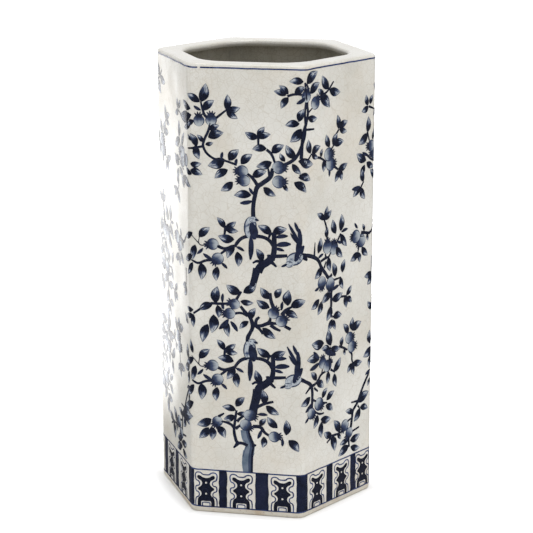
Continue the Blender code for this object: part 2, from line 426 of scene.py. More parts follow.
def smooth_outside(piece, alike=0.9):
    """Gives the outer faces the rounded hexagon's own normals, so that light runs over the seams."""
    mesh = piece.data
    mesh.shade_smooth()
    mesh.set_sharp_from_angle(angle=SHARP)
    mesh.update()
    normals = [Vector(corner.vector) for corner in mesh.corner_normals]
    for face in mesh.polygons:
        centre = face.center
        if face.normal.dot(outward(centre.x, centre.y)) > alike:
            for corner in face.loop_indices:
                place = mesh.vertices[mesh.loops[corner].vertex_index].co
                normals[corner] = outward(place.x, place.y)
    mesh.normals_split_custom_set(normals)


def edit_edges(piece, wanted):
    """Goes into edit mode with the edges that wanted picks, given each edge's two ends."""
    only(piece)
    bpy.context.tool_settings.mesh_select_mode = (False, True, False)
    bpy.ops.object.mode_set(mode="EDIT")
    bpy.ops.mesh.select_all(action="DESELECT")
    bpy.ops.object.mode_set(mode="OBJECT")
    for edge in piece.data.edges:
        edge.select = wanted(*(piece.data.vertices[index].co for index in edge.vertices))
    bpy.ops.object.mode_set(mode="EDIT")


def round_edges(piece, width, segments, wanted):
    """Rounds the edges that wanted picks."""
    edit_edges(piece, wanted)
    bpy.ops.mesh.bevel(offset=width, segments=segments, profile=0.5, affect="EDGES")
    bpy.ops.object.mode_set(mode="OBJECT")


def upright(first, second):
    return abs(first.z - second.z) > 0.5 * (first - second).length


def hexagonal_tube(apothem, radius, bottom, top, name):
    """The side of a hexagonal prism, with its upright edges rounded."""
    bpy.ops.mesh.primitive_cylinder_add(
        vertices=6,
        radius=apothem / math.cos(HALF_SIXTH),
        depth=top - bottom,
        end_fill_type="NOTHING",
        location=(0.0, 0.0, (top + bottom) / 2),
        rotation=(0.0, 0.0, HALF_SIXTH),
    )
    tube = bpy.context.object
    tube.name = name
    bpy.ops.object.transform_apply(location=True, rotation=True, scale=True)
    round_edges(tube, radius * math.tan(HALF_SIXTH), CORNER_CUTS, upright)
    return tube


def finish_modifier(piece, kind, **settings):
    """Adds a modifier with these settings and applies it."""
    only(piece)
    modifier = piece.modifiers.new(kind.lower(), kind)
    for name, value in settings.items():
        setattr(modifier, name, value)
    bpy.ops.object.modifier_apply(modifier=modifier.name)


def merge_and_face_out(piece):
    """Merges a closed shell's doubles, and turns its faces outwards."""
    only(piece)
    bpy.ops.object.mode_set(mode="EDIT")
    bpy.ops.mesh.select_all(action="SELECT")
    bpy.ops.mesh.remove_doubles(threshold=0.000005)
    bpy.ops.mesh.normals_make_consistent(inside=False)
    bpy.ops.object.mode_set(mode="OBJECT")


slab = hexagonal_tube(APOTHEM, CORNER_RADIUS, WALL_BOTTOM, WALL_TOP, "slab")
finish_modifier(slab, "SOLIDIFY", thickness=WALL_THICKNESS, offset=-1.0, use_even_offset=True)


def cut_away(piece, normal):
    """Cuts a piece by a plane through the axis, caps it, and drops the side that normal points to."""
    only(piece)
    bpy.ops.object.mode_set(mode="EDIT")
    bpy.ops.mesh.select_all(action="SELECT")
    bpy.ops.mesh.bisect(
        plane_co=(0.0, 0.0, 0.0), plane_no=normal, use_fill=True, clear_outer=True, threshold=0.000001
    )
    bpy.ops.object.mode_set(mode="OBJECT")


def lengthways(angle):
    return Vector((math.cos(angle), math.sin(angle), 0.0))


cut_away(slab, lengthways(-SIXTH + math.pi / 2))
cut_away(slab, lengthways(-2 * SIXTH - math.pi / 2))
merge_and_face_out(slab)
for material in (crackle_glaze, inside_glaze, bare_clay):
    slab.data.materials.append(material)
for face in slab.data.polygons:
    if face.normal.y > 0.9:
        face.material_index = 1
    elif abs(face.normal.z) > 0.5 or (abs(face.normal.y) < 0.6 and face.area > MITRE_AREA):
        face.material_index = 2


def copy_round(piece, name, turn):
    """A copy of a piece, with its own mesh, turned about the stand's axis."""
    twin = piece.copy()
    twin.data = piece.data.copy()
    twin.name = twin.data.name = name
    twin.data.transform(Matrix.Rotation(turn, 4, "Z"))
    bpy.context.scene.collection.objects.link(twin)
    return twin


for place, name in enumerate(WALL_NAMES):
    wall = copy_round(slab, "glazed_wall_" + name, place * SIXTH)
    smooth_outside(wall)
    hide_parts("wall_" + name)
    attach(wall, "root")
bpy.data.objects.remove(slab)

# ---- Shoulder slab ----
# The flat top is one slab with a wide round-cornered mouth cut through it. Its outer edge is sponged soft,
# and the lip is rolled round.
MOUTH_APOTHEM = APOTHEM - 0.020
MOUTH_CORNER_RADIUS = 0.040
SHOULDER_EDGE = 0.0028
LIP_EDGE = 0.0033
SAME_HEIGHT = 0.0001
shoulder = hexagonal_tube(APOTHEM, CORNER_RADIUS, WALL_TOP, HEIGHT, "glazed_shoulder")


def extrude_rim(piece, wanted, place):
    """Extrudes the edges that wanted picks, and moves each new point to where place says."""
    edit_edges(piece, wanted)
    bpy.ops.mesh.extrude_edges_move()
    bpy.ops.object.mode_set(mode="OBJECT")
    for vertex in piece.data.vertices:
        if vertex.select:
            vertex.co = place(vertex.co)


def on_mouth(point):
    """The mouth's point that answers to a point of the outside."""
    direction = outward(point.x, point.y)
    shrink = (MOUTH_APOTHEM - MOUTH_CORNER_RADIUS) / (APOTHEM - CORNER_RADIUS)
    place = (point - CORNER_RADIUS * direction) * shrink + MOUTH_CORNER_RADIUS * direction
    return Vector((place.x, place.y, point.z))


def level_at(height):
    return lambda first, second: max(abs(first.z - height), abs(second.z - height)) < SAME_HEIGHT


extrude_rim(shoulder, level_at(HEIGHT), on_mouth)
extrude_rim(shoulder, level_at(WALL_TOP), on_mouth)
HALF_WAY = (MOUTH_APOTHEM + APOTHEM) / 2


def apothem_of(point):
    """How far a point lies from the axis, measured square to the nearest wall."""
    angle = (math.atan2(point.y, point.x) + math.pi / 2 + HALF_SIXTH) % SIXTH - HALF_SIXTH
    return math.hypot(point.x, point.y) * math.cos(angle)


def near_mouth(first, second):
    return max(apothem_of(first), apothem_of(second)) < HALF_WAY


def on_lip(first, second):
    return abs(first.z - second.z) < SAME_HEIGHT and near_mouth(first, second)


def on_top_lip(first, second):
    return level_at(HEIGHT)(first, second) and near_mouth(first, second)


def on_outer_rim(first, second):
    return level_at(HEIGHT)(first, second) and min(apothem_of(first), apothem_of(second)) > HALF_WAY


extrude_rim(shoulder, on_top_lip, lambda point: Vector((point.x, point.y, WALL_TOP)))
merge_and_face_out(shoulder)
round_edges(shoulder, LIP_EDGE, 6, on_lip)
round_edges(shoulder, SHOULDER_EDGE, 6, on_outer_rim)
shoulder.data.materials.append(crackle_glaze)
shoulder.data.shade_smooth()
shoulder.data.set_sharp_from_angle(angle=SHARP)
finish_modifier(shoulder, "WEIGHTED_NORMAL", keep_sharp=True)
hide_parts("shoulder_slab")
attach(shoulder, "root")

# ---- Foot, floor and seam coils ----
# The bare foot ring, and the glazed floor and coils inside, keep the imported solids' own shapes.
for name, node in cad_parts.items():
    if name == "foot_ring":
        node.data.materials.clear()
        node.data.materials.append(bare_clay)
    elif name.startswith(("floor_", "seam_coil_")):
        node.data.materials.clear()
        node.data.materials.append(inside_glaze)

# ---- Painted lines and border ----
# Cobalt is brushed on the raw glaze in thin washes, and sinks in. One line runs round the shoulder's
# edge and two enclose the border, whose dark bars part a row of squat jar shapes with waved outlines.
PAINT_DEPTH = 0.05  # millimetres that a mark sinks into the glaze, so that it has no gap under it
PAINT_LIFT = 0.08
LAYER = 0.010  # between marks that cross
LAYERS = 9
WALL_WIDTH = round(SIDE * 1000, 3)


def rolled(place):
    """A place on the walls, from millimetres round them, up them and off them."""
    along_all, up, off = place
    wall = math.floor(along_all / WALL_WIDTH)
    along = (along_all - (wall + 0.5) * WALL_WIDTH) / 1000
    reach = SIDE / 2 - CORNER_REACH
    if abs(along) <= reach:
        flat = Vector((along, -APOTHEM - off / 1000, up / 1000))
    else:
        angle = (abs(along) - reach) / CORNER_REACH * HALF_SIXTH
        radius = CORNER_RADIUS + off / 1000
        across = math.copysign(reach + radius * math.sin(angle), along)
        flat = Vector((across, CORNER_RADIUS - APOTHEM - radius * math.cos(angle), up / 1000))
    return Matrix.Rotation(wall * SIXTH, 4, "Z") @ flat


NAVY = (0.0050, 0.0078, 0.0210)
CLEAR_BLUE = (0.052, 0.074, 0.142)

# The blotchy_wash group gives a wash that lies deep in soft blotches, of so many to the metre.
blotchy_wash, inlet, outlet = new_group(
    "blotchy_wash",
    [
        ("Scale", FLOAT, 90.0),
        ("Low", FLOAT, 0.35),
        ("High", FLOAT, 0.70),
        ("Deep", COLOUR, (*NAVY, 1.0)),
        ("Pale", COLOUR, (*CLEAR_BLUE, 1.0)),
    ],
    [("Colour", COLOUR)],
)
where = add_node(blotchy_wash, "ShaderNodeTexCoord", (-4, 1)).outputs["Object"]
cloud = add_node(blotchy_wash, "ShaderNodeTexNoise", (-2, 1))
set_inputs(cloud, Vector=where, Scale=inlet.outputs["Scale"], Detail=3.0)
mask = add_node(blotchy_wash, "ShaderNodeMapRange", (0, 1))
set_inputs(mask, Value=cloud.outputs["Fac"], From_Min=inlet.outputs["Low"], From_Max=inlet.outputs["High"])
washed = blend_colours(blotchy_wash, (3, 0), mask.outputs[0], inlet.outputs["Pale"], inlet.outputs["Deep"])
blotchy_wash.links.new(washed, outlet.inputs["Colour"])


def glaze_cobalt(tree, shader, wash):
    """Lays the crackle over a group's wash, with fainter stain and cracks than on the white."""
    fainter = {"Stain_Share": 0.01, "Crack_Tint": (0.10, 0.11, 0.15, 1.0), "Crack_Share": 0.12}
    glaze_over(tree, shader, wash.outputs["Colour"], **fainter)


def blotchy_cobalt(name, scale, low, high, deep, pale):
    """A cobalt of soft blotches, between a pale and a deep wash."""
    material, tree, shader = new_material(name, GLAZE_ROUGHNESS)
    wash = add_node(tree, "ShaderNodeGroup", (-4, 0), node_tree=blotchy_wash)
    set_inputs(wash, Scale=scale, Low=low, High=high, Deep=(*deep, 1.0), Pale=(*pale, 1.0))
    glaze_cobalt(tree, shader, wash)
    return material


line_cobalt = blotchy_cobalt("line_cobalt", 120.0, 0.30, 0.65, (0.012, 0.022, 0.085), (0.065, 0.095, 0.22))
bar_cobalt = blotchy_cobalt("bar_cobalt", 90.0, 0.35, 0.70, NAVY, (0.011, 0.016, 0.044))
jar_cobalt = blotchy_cobalt("jar_cobalt", 90.0, 0.35, 0.70, NAVY, (0.007, 0.009, 0.022))


def join_flat(marks):
    """Joins painted marks into one piece on the flat layout."""
    only(*marks)
    if len(marks) > 1:
        bpy.ops.object.join()
    piece = bpy.context.object
    piece.data.transform(piece.matrix_world)
    piece.matrix_world = Matrix()
    return piece


def roll_on(piece, name):
    """Rolls a piece from the flat layout on the walls, and gives it the walls' own light."""
    piece.name = piece.data.name = name
    for vertex in piece.data.vertices:
        vertex.co = rolled(vertex.co)
    smooth_outside(piece, 0.4)
    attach(piece, "root")


def thicken(piece, lift=PAINT_LIFT):
    """Gives a flat mark at its lift a thickness that reaches down into the glaze."""
    finish_modifier(piece, "SOLIDIFY", thickness=lift + PAINT_DEPTH, offset=-1.0)


SHORT_STRIP = 50.0  # millimetres, under which a strip has uneven ends too


def strip(left, end, low, high, material, columns, rows, waver):
    """A flat painted strip, with edges as uneven as a hand's."""
    middle = ((left + end) / 2, (low + high) / 2, PAINT_LIFT)
    bpy.ops.mesh.primitive_grid_add(x_subdivisions=columns, y_subdivisions=rows, size=1.0, location=middle)
    piece = bpy.context.object
    piece.scale = (end - left, high - low, 1.0)
    bpy.ops.object.transform_apply(location=True, rotation=True, scale=True)
    for vertex in piece.data.vertices:
        seed = vertex.co.x * 0.07 + vertex.co.y * 0.11
        if min(vertex.co.x - left, end - vertex.co.x) < 0.01 and end - left < SHORT_STRIP:
            vertex.co.x += waver * noise.noise(Vector((seed, vertex.co.y * 0.13, left)))
        else:
            vertex.co.y += waver * noise.noise(Vector((vertex.co.x * 0.09, low, 3.0)))
    piece.data.materials.append(material)
    thicken(piece)
    return piece


BORDER_LOW = 6.2
BORDER_HIGH = 45.6
SHOULDER_LINE = 453.2
LINE_WIDTH = 1.45
BRUSH_LIFTED = (9.0, 11.5)  # a gap in the shoulder's line


def line(start, stop, height, columns, waver):
    """A length of painted line, whose middle is at that height."""
    low, high = height - LINE_WIDTH / 2, height + LINE_WIDTH / 2
    return strip(start, stop, low, high, line_cobalt, columns, 1, waver)


border_marks = {wall: [] for wall in range(6)}
for wall, marks in border_marks.items():
    for height in (BORDER_LOW, BORDER_HIGH, SHOULDER_LINE):
        start = BRUSH_LIFTED[1] if wall == 0 and height == SHOULDER_LINE else 0.0
        marks.append(line(wall * WALL_WIDTH + start, (wall + 1) * WALL_WIDTH, height, 72, 0.35))
border_marks[0].append(line(0.0, BRUSH_LIFTED[0], SHOULDER_LINE, 8, 0.2))

# Each bar is given by where it starts and ends, round the walls from the front's left corner.
BARS = (
    (27, 35.5), (64.5, 78), (106.5, 121), (151, 161), (190, 198.5), (222, 233), (259, 269), (295, 305),
    (331, 341), (368, 378), (405.5, 415.5), (443, 453), (480, 490), (517.5, 528), (571, 582), (611, 622),
    (659, 672.5),
)
for start, stop in BARS:
    marks = border_marks[int((start + stop) / 2 // WALL_WIDTH)]
    marks.append(strip(start, stop, BORDER_LOW, BORDER_HIGH, bar_cobalt, 7, 9, 0.9))


HAND_WAVER = 0.22  # how uneven the width of a stroke is, as a share of it
WAVER_SPEED = 0.21
LIFTED_TIP = 0.8
WIDE_STROKE = 4  # millimetres, from which a stroke's end isn't drawn in


def outline_curve(name, loops, extrude):
    """A flat filled curve from closed loops of points, where a loop inside another is a hole."""
    curve = bpy.data.curves.new(name, "CURVE")
    curve.dimensions = "2D"
    curve.fill_mode = "BOTH"
    curve.extrude = extrude
    curve.resolution_u = 4
    for points in loops:
        spline = curve.splines.new("BEZIER")
        spline.bezier_points.add(len(points) - 1)
        spline.use_cyclic_u = True
        for knot, (x, y) in zip(spline.bezier_points, points):
            knot.co = (x, y, 0.0)
            knot.handle_left_type = knot.handle_right_type = "AUTO"
    piece = bpy.data.objects.new(name, curve)
    bpy.context.scene.collection.objects.link(piece)
    return piece


def stroke_curve(name, strokes, load=1.0):
    """One curve of brush strokes, which have their width at both ends and their points."""
    curve = bpy.data.curves.new(name, "CURVE")
    curve.dimensions = "3D"
    curve.twist_mode = "Z_UP"
    curve.bevel_depth = 0.5
    curve.bevel_resolution = 1
    curve.use_fill_caps = True
    curve.resolution_u = 5
    for first_width, last_width, points in strokes:
        spline = curve.splines.new("BEZIER")
        spline.bezier_points.add(len(points) - 1)
        for order, (knot, (x, y)) in enumerate(zip(spline.bezier_points, points)):
            share = order / (len(points) - 1)
            hand = 1.0 + HAND_WAVER * noise.noise(Vector((x * WAVER_SPEED, y * WAVER_SPEED, 5.0)))
            if order == len(points) - 1 and first_width < WIDE_STROKE:
                hand *= LIFTED_TIP
            knot.co = (x, y, 0.0)
            knot.handle_left_type = knot.handle_right_type = "AUTO"
            knot.radius = (first_width + (last_width - first_width) * share) * hand * load
    piece = bpy.data.objects.new(name, curve)
    bpy.context.scene.collection.objects.link(piece)
    return piece


def as_mesh(piece, material, lift):
    """Makes a curve a mesh, pressed flat between the paint's depth and its lift."""
    only(piece)
    bpy.ops.object.convert(target="MESH")
    for vertex in piece.data.vertices:
        vertex.co.z = min(max(vertex.co.z, -PAINT_DEPTH), lift)
    piece.data.materials.clear()
    piece.data.materials.append(material)
    merge_and_face_out(piece)
    return piece


def stroke_marks(strokes, material, lift, load=1.0):
    """Brush strokes as separate marks. Each lies a hair above the one before, as it crosses it."""
    marks = []
    for order, stroke in enumerate(strokes):
        mark = as_mesh(stroke_curve("stroke", (stroke,), load), material, lift + LAYER * (order % LAYERS))
        marks.append(mark)
    return marks


def mirrored(points):
    """Closes a right-hand outline, given from the top middle down to the bottom middle, with its left."""
    return list(points) + [(-x, y) for x, y in reversed(points) if x != 0]


JAR = (
    (0, 36.6), (3.2, 37.2), (6.2, 39.0), (8.3, 39.2), (9.2, 37.4), (8.0, 35.3), (5.2, 33.6), (4.0, 31.0),
    (4.8, 28.4), (6.6, 26.9), (8.4, 25.2), (8.2, 24.0), (6.0, 22.4), (4.8, 19.8), (5.3, 17.6), (7.6, 15.6),
    (8.7, 12.5), (8.7, 6.4), (8.5, 6.1), (5.4, 6.1), (5.2, 6.4), (5.1, 11.0), (4.7, 11.5), (0, 11.6),
)
WAVED_LINE = (
    (0, 40.0), (3.4, 40.4), (5.4, 42.0), (9.6, 42.2), (11.2, 40.4), (11.3, 37.0), (10.4, 34.4), (7.6, 32.8),
    (6.6, 30.4), (7.6, 28.4), (10.2, 27.6), (11.2, 25.0), (10.4, 22.4), (7.8, 21.0), (7.0, 18.4),
    (8.0, 16.4), (10.2, 15.2), (11.1, 12.6), (11.2, 6.2),
)
KEY_LINE = ((-3.8, 6.2), (-3.8, 9.6), (-3.5, 10.0), (3.5, 10.0), (3.8, 9.6), (3.8, 6.2))


def dot(height, radius=1.0):
    corners = [SIXTH * corner for corner in range(6)]
    return [(radius * math.cos(corner), height - radius * math.sin(corner)) for corner in corners]


jar = as_mesh(outline_curve("jar", (mirrored(JAR), dot(31.5), dot(19.6)), 0.2), jar_cobalt, PAINT_LIFT)
waved_line = [(-x, y) for x, y in reversed(WAVED_LINE[1:])] + list(WAVED_LINE)
strokes = ((1.35, 1.35, waved_line), (1.2, 1.2, KEY_LINE))
jar_lines = as_mesh(stroke_curve("jar_lines", strokes), line_cobalt, PAINT_LIFT)


def copy_flat(piece, matrix):
    """A copy of a piece, with its own mesh, moved on the flat layout."""
    twin = piece.copy()
    twin.data = piece.data.copy()
    twin.data.transform(matrix)
    bpy.context.scene.collection.objects.link(twin)
    return twin


for order, (start, stop) in enumerate(BARS):
    before = BARS[order - 1][1] if order else 0.5
    middle = (before + start) / 2
    for mark in (jar, jar_lines):
        moved = copy_flat(mark, Matrix.Translation((middle, 0.0, 0.0)))
        border_marks[int(middle // WALL_WIDTH)].append(moved)
for mark in (jar, jar_lines):
    bpy.data.objects.remove(mark)
for wall, marks in border_marks.items():
    roll_on(join_flat(marks), "painted_border_" + WALL_NAMES[wall])

# ---- Painted boughs ----
# A crooked fruit tree grows up one wall and its sprays hang over the next, and the same pair is
# painted three times round. Boughs are single loaded strokes, and the trunk has a pale side.
bough_cobalt = blotchy_cobalt("bough_cobalt", 150.0, 0.44, 0.76, NAVY, (0.010, 0.014, 0.034))
bough_shade = blotchy_cobalt("bough_shade", 130.0, 0.35, 0.70, (0.028, 0.042, 0.082), (0.050, 0.070, 0.125))
bough_wash = blotchy_cobalt("bough_wash", 130.0, 0.35, 0.70, (0.095, 0.135, 0.19), (0.17, 0.21, 0.27))

# A stroke has its width at both ends, then its points. All are millimetres on the flat layout.
TRUNK_WASH = (
    (9.5, 11.0, ((57.0, 45.8), (56.0, 52), (55.8, 58), (58.0, 68))),
    (10.0, 8.0, ((58.0, 67), (59.0, 75), (55.5, 83), (54.0, 91))),
)
TRUNK_SHADE = (
    (5.0, 5.0, ((59.2, 45.8), (59.2, 56), (59.8, 66), (61.2, 74))),
    (5.2, 4.2, ((61.0, 73), (60.6, 77), (57.8, 84), (56.4, 91))),
    (0.9, 0.8, ((51.8, 62), (53.8, 69), (55.6, 74), (53.8, 80))),
)
TREE_BOUGHS = (
    (2.2, 2.4, ((60.8, 45.8), (60.9, 56), (61.4, 66), (62.8, 74))),
    (5.0, 1.4, ((61, 75), (65.6, 75.2))),
    (2.6, 2.2, ((62.2, 76), (59.5, 83), (57.6, 90))),
    (3.0, 2.4, ((57, 74.5), (51, 76.5), (46.5, 77), (44.2, 82), (43.0, 90), (43.8, 98), (45.6, 111))),
    (3.8, 1.8, ((47, 76.5), (42.5, 71))),
    (2.6, 2.2, ((43.5, 92), (40, 95.5), (37, 97), (30, 98.4))),
    (2.8, 2.4, ((44.5, 91.5), (50, 96))),
    (2.4, 2.4, ((46, 99), (49, 102.5), (53, 105.5))),
    (2.4, 1.6, ((27, 103), (33, 107))),
    (3.2, 2.6, ((62, 95), (70, 94.5), (74, 89.5), (80, 85.6))),
    (7.4, 7.0, ((62.0, 109), (63.5, 117), (65.6, 125), (66.5, 134))),
    (2.8, 2.6, ((63, 113), (69, 117), (74, 119.5), (83, 122.3))),
    (3.4, 3.0, ((57, 183), (57.5, 188), (60, 193), (62, 198), (61.5, 203), (59.5, 208), (54, 214),
        (50, 219))),
    (2.4, 2.2, ((43, 211), (51, 212), (57, 209))),
    (3.2, 2.8, ((61, 200), (70, 200), (78, 203), (87, 203.2))),
    (2.8, 2.6, ((76, 202), (79, 205), (80, 209))),
    (2.8, 2.4, ((65, 201), (66, 206), (69, 209))),
    (3.0, 2.0, ((65, 200), (70, 195.5), (72, 191.5))),
    (3.2, 2.2, ((80, 201.5), (85, 198), (90, 196))),
    (3.0, 3.2, ((94, 201), (100, 198))),
    (2.4, 2.4, ((20, 220.5), (30, 220.5), (38, 221))),
    (2.2, 2.0, ((20, 220), (12, 216), (8, 213), (2, 209))),
    (2.6, 2.2, ((46, 226), (51, 234))),
    (3.4, 3.0, ((83, 219), (80.5, 226), (79.5, 234))),
    (3.2, 2.6, ((91, 212), (95, 217), (101, 221))),
    (5.4, 6.6, ((62, 240), (64.5, 249), (66.5, 258))),
    (3.8, 3.6, ((63, 306), (63, 320), (65, 332), (67, 339), (72, 343), (80, 350), (82, 358))),
    (2.4, 2.0, ((79, 350), (77.5, 358))),
    (2.8, 2.4, ((67, 341), (62, 348), (57, 352))),
    (2.2, 2.0, ((47, 360), (34, 364), (23, 366), (14, 377), (15, 383), (19, 392), (21, 400))),
    (2.4, 2.0, ((18.5, 405), (16, 407), (14, 412), (12, 420))),
    (2.2, 2.0, ((27, 405), (37, 413))),
    (2.0, 1.6, ((14, 377), (4, 375), (-4, 374))),
    (2.2, 2.0, ((68, 387), (68, 380))),
    (2.4, 2.4, ((76, 376), (80.5, 372), (84, 364))),
    (2.8, 2.4, ((92, 361), (101, 366), (105, 370), (110, 380), (114, 390), (115, 400))),
    (2.4, 2.4, ((115, 399), (114, 412), (115.5, 426), (114, 441))),
    (2.2, 2.0, ((96, 428), (103, 430), (115, 429))),
)
# The perch, with its birds, comes twice up the tree.
PERCH_BOUGHS = (
    (7.0, 6.6, ((66.5, 131), (70, 137), (76, 141), (81, 146.5))),
    (4.8, 3.6, ((80.3, 143), (82.4, 152), (82.6, 162), (82.3, 170.5))),
    (3.2, 2.8, ((82, 157), (78, 162.5), (72, 165.6), (66, 166.3), (57, 166), (50, 163.3), (46, 159),
        (43.5, 155))),
    (3.2, 1.8, ((72, 138.5), (66, 141.5), (61.3, 139.3))),
    (3.8, 2.4, ((79, 141), (76.3, 148.5))),
    (3.4, 2.2, ((79, 142), (85, 136.6))),
    (3.2, 3.0, ((81, 147), (88, 147.5), (95.5, 148.3))),
    (2.8, 3.0, ((110, 147.5), (114, 145.5), (117.5, 143.6))),
    (2.6, 2.4, ((26, 155), (33, 152.6), (40, 154.5), (45, 156))),
    (2.6, 2.4, ((36, 152.5), (29.5, 147))),
    (2.2, 1.8, ((21, 140.5), (14, 139.5), (7, 136.8), (3, 138), (-1, 139.5))),
    (2.4, 2.2, ((34.5, 174), (33.3, 166))),
    (2.4, 2.0, ((79, 170), (76.6, 163.8))),
    (2.6, 2.2, ((82.4, 169.6), (77.6, 169.2))),
    (1.0, 0.8, ((16, 155.5), (8.5, 155.8), (8.2, 163.6))),
    (0.9, 0.8, ((8.4, 156), (3.6, 161), (-1, 165))),
)
SPRAY_BOUGHS = (
    (2.2, 1.8, ((128, 112), (134, 107), (140, 104), (146, 103.5))),
    (2.2, 2.0, ((142, 115), (151, 113))),
    (2.6, 2.0, ((158, 74), (151, 70))),
    (2.4, 2.2, ((158, 75.5), (170, 75), (179, 76))),
    (2.2, 2.0, ((184, 84), (191, 86))),
    (2.2, 2.0, ((191, 71), (204, 73))),
    (2.4, 2.2, ((187, 67), (187, 60), (188, 55.5))),
    (3.2, 3.0, ((190, 76), (192, 87), (193, 93), (197, 97), (201, 101), (204, 106), (208, 113),
        (213, 120), (220, 129))),
    (2.2, 1.8, ((200, 102), (190, 103))),
    (2.2, 2.0, ((201, 97), (204, 93.5))),
    (3.4, 3.0, ((109, 147.5), (118, 143), (125, 138), (127, 133), (127.3, 120), (127, 112))),
    (2.8, 2.2, ((127, 136.5), (133, 138), (136, 140), (141, 145), (150, 147))),
    (2.6, 2.0, ((124, 136), (117, 131))),
    (2.4, 2.0, ((130, 134), (136, 129))),
    (2.4, 2.0, ((128, 122), (133.5, 119))),
    (2.2, 1.8, ((142, 144.5), (143, 150.5))),
    (2.2, 2.0, ((156, 147), (163, 142.5))),
    (2.4, 2.0, ((154, 147), (154, 160), (155.5, 171))),
    (2.0, 1.8, ((155.5, 158.5), (159, 154.5))),
    (2.4, 2.0, ((169, 168), (176, 165), (183, 161))),
    (2.4, 2.2, ((186, 159), (190, 155), (190.4, 149), (192, 145))),
    (3.2, 3.0, ((156, 231), (156, 222), (156, 214), (155, 207))),
    (2.2, 1.8, ((158.5, 201), (154.5, 204.5))),
    (2.2, 2.0, ((171, 219.5), (181, 218))),
    (3.4, 3.2, ((109, 274), (120, 271.5), (129, 268), (135, 264), (140, 256), (147, 248), (152, 243),
        (157, 245.5))),
    (2.4, 1.4, ((129, 269), (130, 283))),
    (2.4, 2.2, ((139, 262), (147, 264), (152, 264))),
    (2.4, 2.0, ((147, 264), (146, 268.5))),
    (2.4, 2.0, ((151.5, 264.5), (155.2, 268.5))),
    (2.4, 2.0, ((144.5, 254), (147.2, 260.5))),
    (2.2, 1.8, ((160, 239), (171, 239.5))),
    (2.2, 2.2, ((144, 303), (147, 296), (149, 283))),
    (2.8, 2.4, ((163.5, 276), (170, 284.5))),
    (2.4, 2.0, ((199.5, 266), (198, 260.5))),
    (2.8, 2.4, ((202.5, 279.5), (210, 278), (217, 277), (225, 284))),
    (1.8, 1.6, ((201, 276), (207.5, 275))),
    (2.4, 2.0, ((222, 252), (221, 235.5))),
    (2.2, 2.0, ((201, 325.5), (206, 331.5))),
    (3.2, 2.6, ((110, 368), (111, 383), (113, 395), (116, 403), (118, 412), (117, 420), (119, 432),
        (116, 440))),
    (2.2, 2.0, ((132, 424.5), (140, 426), (150, 431), (152, 433), (156.5, 437.5))),
    (2.0, 1.6, ((118, 411.5), (124.5, 415.5))),
    (2.4, 1.8, ((113, 396), (127.5, 395))),
    (2.0, 1.8, ((119, 366.5), (124, 371.5))),
    (2.2, 2.2, ((133, 366.5), (138, 365), (146, 360))),
    (2.2, 2.0, ((152, 370), (158.5, 375.5))),
    (2.2, 2.0, ((161.5, 385.5), (165.5, 389.5))),
    (2.2, 2.0, ((159, 353.5), (165.5, 349.5))),
    (2.2, 1.8, ((212.5, 406), (223, 402))),
    (2.2, 2.0, ((210.6, 381), (214, 371.5))),
    (2.2, 2.0, ((210.5, 357.5), (218, 352), (225, 350))),
)
SECOND_PERCH = (1.0, 124.0)
BOUGH_LIFT = 0.1425


def twice_up(marks, move):
    """The marks, and the same marks moved up to the second perch."""
    return tuple(marks) + tuple(move(mark) for mark in marks)


def move_stroke(stroke):
    first_width, last_width, points = stroke
    return first_width, last_width, tuple((x + SECOND_PERCH[0], y + SECOND_PERCH[1]) for x, y in points)


LEFT_LEAN = -0.065  # the last spray was laid on the front left wall a little askew
LEAN_FROM = 60.0


def paint_round(marks, name):
    """Rolls one layout on three walls, each the next but one."""
    first_wall = 0 if name.startswith("tree") else 1
    layout = join_flat(marks)
    for wall in (first_wall, first_wall + 2, first_wall + 4):
        lean = LEFT_LEAN if wall == 5 else 0.0
        askew = Matrix(((1, lean, 0, -lean * LEAN_FROM), (0, 1, 0, 0), (0, 0, 1, 0), (0, 0, 0, 1)))
        shift = Matrix.Translation(((wall - first_wall) * WALL_WIDTH, 0.0, 0.0))
        roll_on(copy_flat(layout, shift @ askew), "painted_{}_{}".format(name, WALL_NAMES[wall]))
    bpy.data.objects.remove(layout)


tree_strokes = TREE_BOUGHS + twice_up(PERCH_BOUGHS, move_stroke)
BOUGH_LOAD = 1.2  # how much fuller the strokes run than the brush is wide
paint_round(
    stroke_marks(TRUNK_WASH, bough_wash, 0.05)
    + stroke_marks(TRUNK_SHADE, bough_shade, 0.08)
    + stroke_marks(tree_strokes, bough_cobalt, BOUGH_LIFT, BOUGH_LOAD),
    "tree_boughs",
)
paint_round(stroke_marks(SPRAY_BOUGHS, bough_cobalt, BOUGH_LIFT, BOUGH_LOAD), "spray_boughs")

# ---- Painted leaves ----
# A leaf is one press of a loaded brush, dark where it lands and round its edge, then drawn out pale
# towards the tip and scratched with veins. Some are only a slim dark dab.

# The brush_layout group reads a mark's own layout: along it, across it, out from its middle, and
# fine streaks that run along it and differ from one mark to the next.
MARK_SPREAD = 55.0  # how fast the streaks change over the stand, to the metre
brush_layout, inlet, outlet = new_group(
    "brush_layout",
    [("Layout", VECTOR, None), ("Along Scale", FLOAT, 3.0), ("Across Scale", FLOAT, 9.0)],
    [("Along", FLOAT), ("Across", FLOAT), ("From Middle", FLOAT), ("Streaks", FLOAT)],
)
sides = add_node(brush_layout, "ShaderNodeSeparateXYZ", (-4, 3))
brush_layout.links.new(inlet.outputs["Layout"], sides.inputs[0])
centred = math_node(brush_layout, "MULTIPLY_ADD", (-2, 2), sides.outputs["Y"], 2.0, -1.0)
scales = add_node(brush_layout, "ShaderNodeCombineXYZ", (-4, -1))
set_inputs(scales, X=inlet.outputs["Along Scale"], Y=inlet.outputs["Across Scale"], Z=1.0)
stretched = add_node(brush_layout, "ShaderNodeVectorMath", (-2, -1), operation="MULTIPLY")
